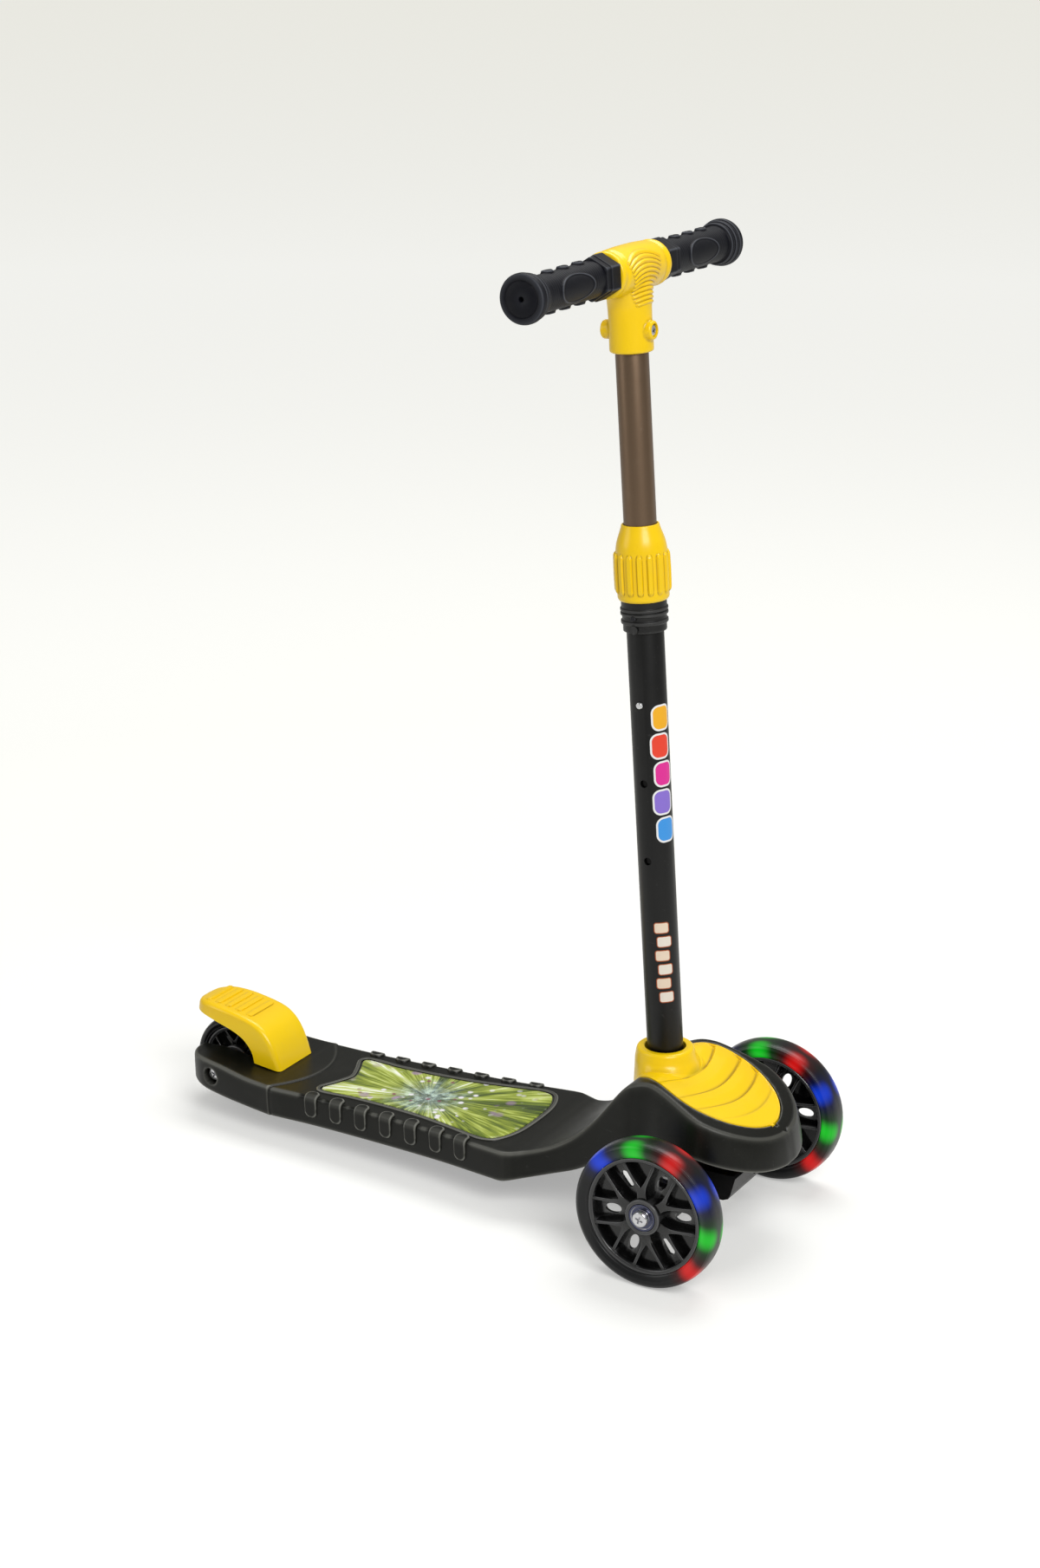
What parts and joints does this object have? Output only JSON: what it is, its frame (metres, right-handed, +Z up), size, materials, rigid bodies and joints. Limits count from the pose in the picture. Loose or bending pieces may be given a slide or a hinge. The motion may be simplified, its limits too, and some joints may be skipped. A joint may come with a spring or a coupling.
{
  "type": "three-wheel kick scooter",
  "caption": "Child's kick scooter with lean-steered front wheels, a narrow ribbed deck, a rear wheel under a foot brake and a telescopic T-bar column with a twist clamp and rubber grips.",
  "frame": {"origin": "centre of the scooter's box at ground level, between the front and rear wheels", "axes": "+X forward, +Y to the rider's left, +Z up; the ground under all three wheels is z = 0"},
  "size_m": [0.5644, 0.3104, 0.773],
  "materials": {
    "deck_plastic": "fine moulded satin",
    "panel_plastic": "printed, glossy",
    "yellow_plastic": "glossy",
    "black_plastic": "glossy",
    "nylon": "matt, glass filled",
    "black_paint": "satin powder coat",
    "bronze_paint": "metallic, satin",
    "steel": "zinc plated",
    "chrome": "polished",
    "smoke_tyre": "smoky clear polyurethane, glossy",
    "black_tyre": "satin",
    "light_strip": "potted light blocks",
    "grip_rubber": "matt",
    "bush_rubber": "matt"
  },
  "bodies": {
    "chassis": {"deck_body": "deck_plastic", "deck_panel": "panel_plastic", "front_cover": "yellow_plastic", "cover_screw_left": "steel", "cover_screw_right": "steel", "lower_tube": "black_paint", "column_bolt": "steel", "column_nut": "steel", "collet": "black_plastic", "collet_screw": "steel", "rear_axle_bolt": "chrome", "rear_axle_nut": "steel", "rear_spacer_left": "steel", "rear_spacer_right": "steel", "brake_pin": "steel", "brake_spring": "steel", "steer_pin": "steel", "pivot_bush": "bush_rubber"},
    "truck": {"truck_beam": "nylon", "pivot_bolt": "steel", "pivot_nut": "steel", "kingpin_left": "steel", "kingpin_right": "steel"},
    "tie_rod": {"tie_rod": "black_paint"},
    "steering_knuckle_left": {"knuckle_left": "black_paint", "axle_bolt_left": "chrome", "axle_spacer_left": "steel", "rod_pin_left": "steel"},
    "steering_knuckle_right": {"knuckle_right": "black_paint", "axle_bolt_right": "chrome", "axle_spacer_right": "steel", "rod_pin_right": "steel"},
    "front_wheel_left": {"wheel_core_left": "black_plastic", "tyre_left": "smoke_tyre", "wheel_lights_left": "light_strip", "bearing_outer_left": "steel", "bearing_inner_left": "steel"},
    "front_wheel_right": {"wheel_core_right": "black_plastic", "tyre_right": "smoke_tyre", "wheel_lights_right": "light_strip", "bearing_outer_right": "steel", "bearing_inner_right": "steel"},
    "rear_wheel": {"rear_core": "black_plastic", "rear_tyre": "black_tyre", "rear_bearing_left": "steel", "rear_bearing_right": "steel"},
    "stem": {"upper_tube": "bronze_paint", "tube_plug": "nylon", "snap_spring": "steel", "t_joint": "yellow_plastic", "handlebar": "steel", "grip_left": "grip_rubber", "grip_right": "grip_rubber", "t_bolt": "chrome", "t_nut": "steel"},
    "snap_button": {"snap_button": "chrome"},
    "clamp_knob": {"clamp_knob": "yellow_plastic"},
    "foot_brake": {"brake_fender": "yellow_plastic"}
  },
  "joints": [
    {"name": "lean", "type": "hinge", "parent": "chassis", "child": "truck", "pos_m": [0.22325, 0, 0.06424], "axis": [0.9997, 0, 0.0241], "range_deg": [-10, 10], "stiffness_Nm_per_rad": 25},
    {"name": "steer_left", "type": "hinge", "parent": "truck", "child": "steering_knuckle_left", "pos_m": [0.21335, 0.074, 0.06], "axis": [-0.0241, 0, 0.9997], "range_deg": [-10, 10]},
    {"name": "steer_right", "type": "hinge", "parent": "truck", "child": "steering_knuckle_right", "pos_m": [0.21335, -0.074, 0.06], "axis": [-0.0241, 0, 0.9997], "range_deg": [-10, 10]},
    {"name": "tie_rod_slide", "type": "slide", "parent": "truck", "child": "tie_rod", "axis": [0, 1, 0], "range_m": [-0.0039, 0.0039]},
    {"name": "wheel_spin_left", "type": "hinge", "parent": "steering_knuckle_left", "child": "front_wheel_left", "pos_m": [0.21335, 0.1086, 0.06], "axis": [0, 1, 0], "continuous": true},
    {"name": "wheel_spin_right", "type": "hinge", "parent": "steering_knuckle_right", "child": "front_wheel_right", "pos_m": [0.21335, -0.1086, 0.06], "axis": [0, 1, 0], "continuous": true},
    {"name": "wheel_spin_rear", "type": "hinge", "parent": "chassis", "child": "rear_wheel", "pos_m": [-0.2423, 0, 0.04], "axis": [0, 1, 0], "continuous": true},
    {"name": "column_height", "type": "slide", "parent": "chassis", "child": "stem", "axis": [-0.0798, 0, 0.9968], "range_m": [-0.1248, 0], "deforming": ["snap_button", "snap_spring"]},
    {"name": "button_press", "type": "slide", "parent": "stem", "child": "snap_button", "axis": [0, 1, 0], "range_m": [0, 0.004], "stiffness_N_per_m": 900, "springref_m": -0.003, "deforming": ["snap_spring"]},
    {"name": "knob_twist", "type": "hinge", "parent": "chassis", "child": "clamp_knob", "pos_m": [0.13967, 0, 0.49966], "axis": [-0.0798, 0, 0.9968], "range_deg": [0, 150]},
    {"name": "brake_press", "type": "hinge", "parent": "chassis", "child": "foot_brake", "pos_m": [-0.19376, 0, 0.03917], "axis": [0, -1, 0], "range_deg": [0, 2.8], "stiffness_Nm_per_rad": 3, "springref_deg": -8.59}
  ],
  "couplings": [
    {"joint": "steer_left", "follows": "lean", "ratio": 1},
    {"joint": "steer_right", "follows": "lean", "ratio": 1},
    {"joint": "tie_rod_slide", "follows": "lean", "m_per_rad": -0.022}
  ]
}
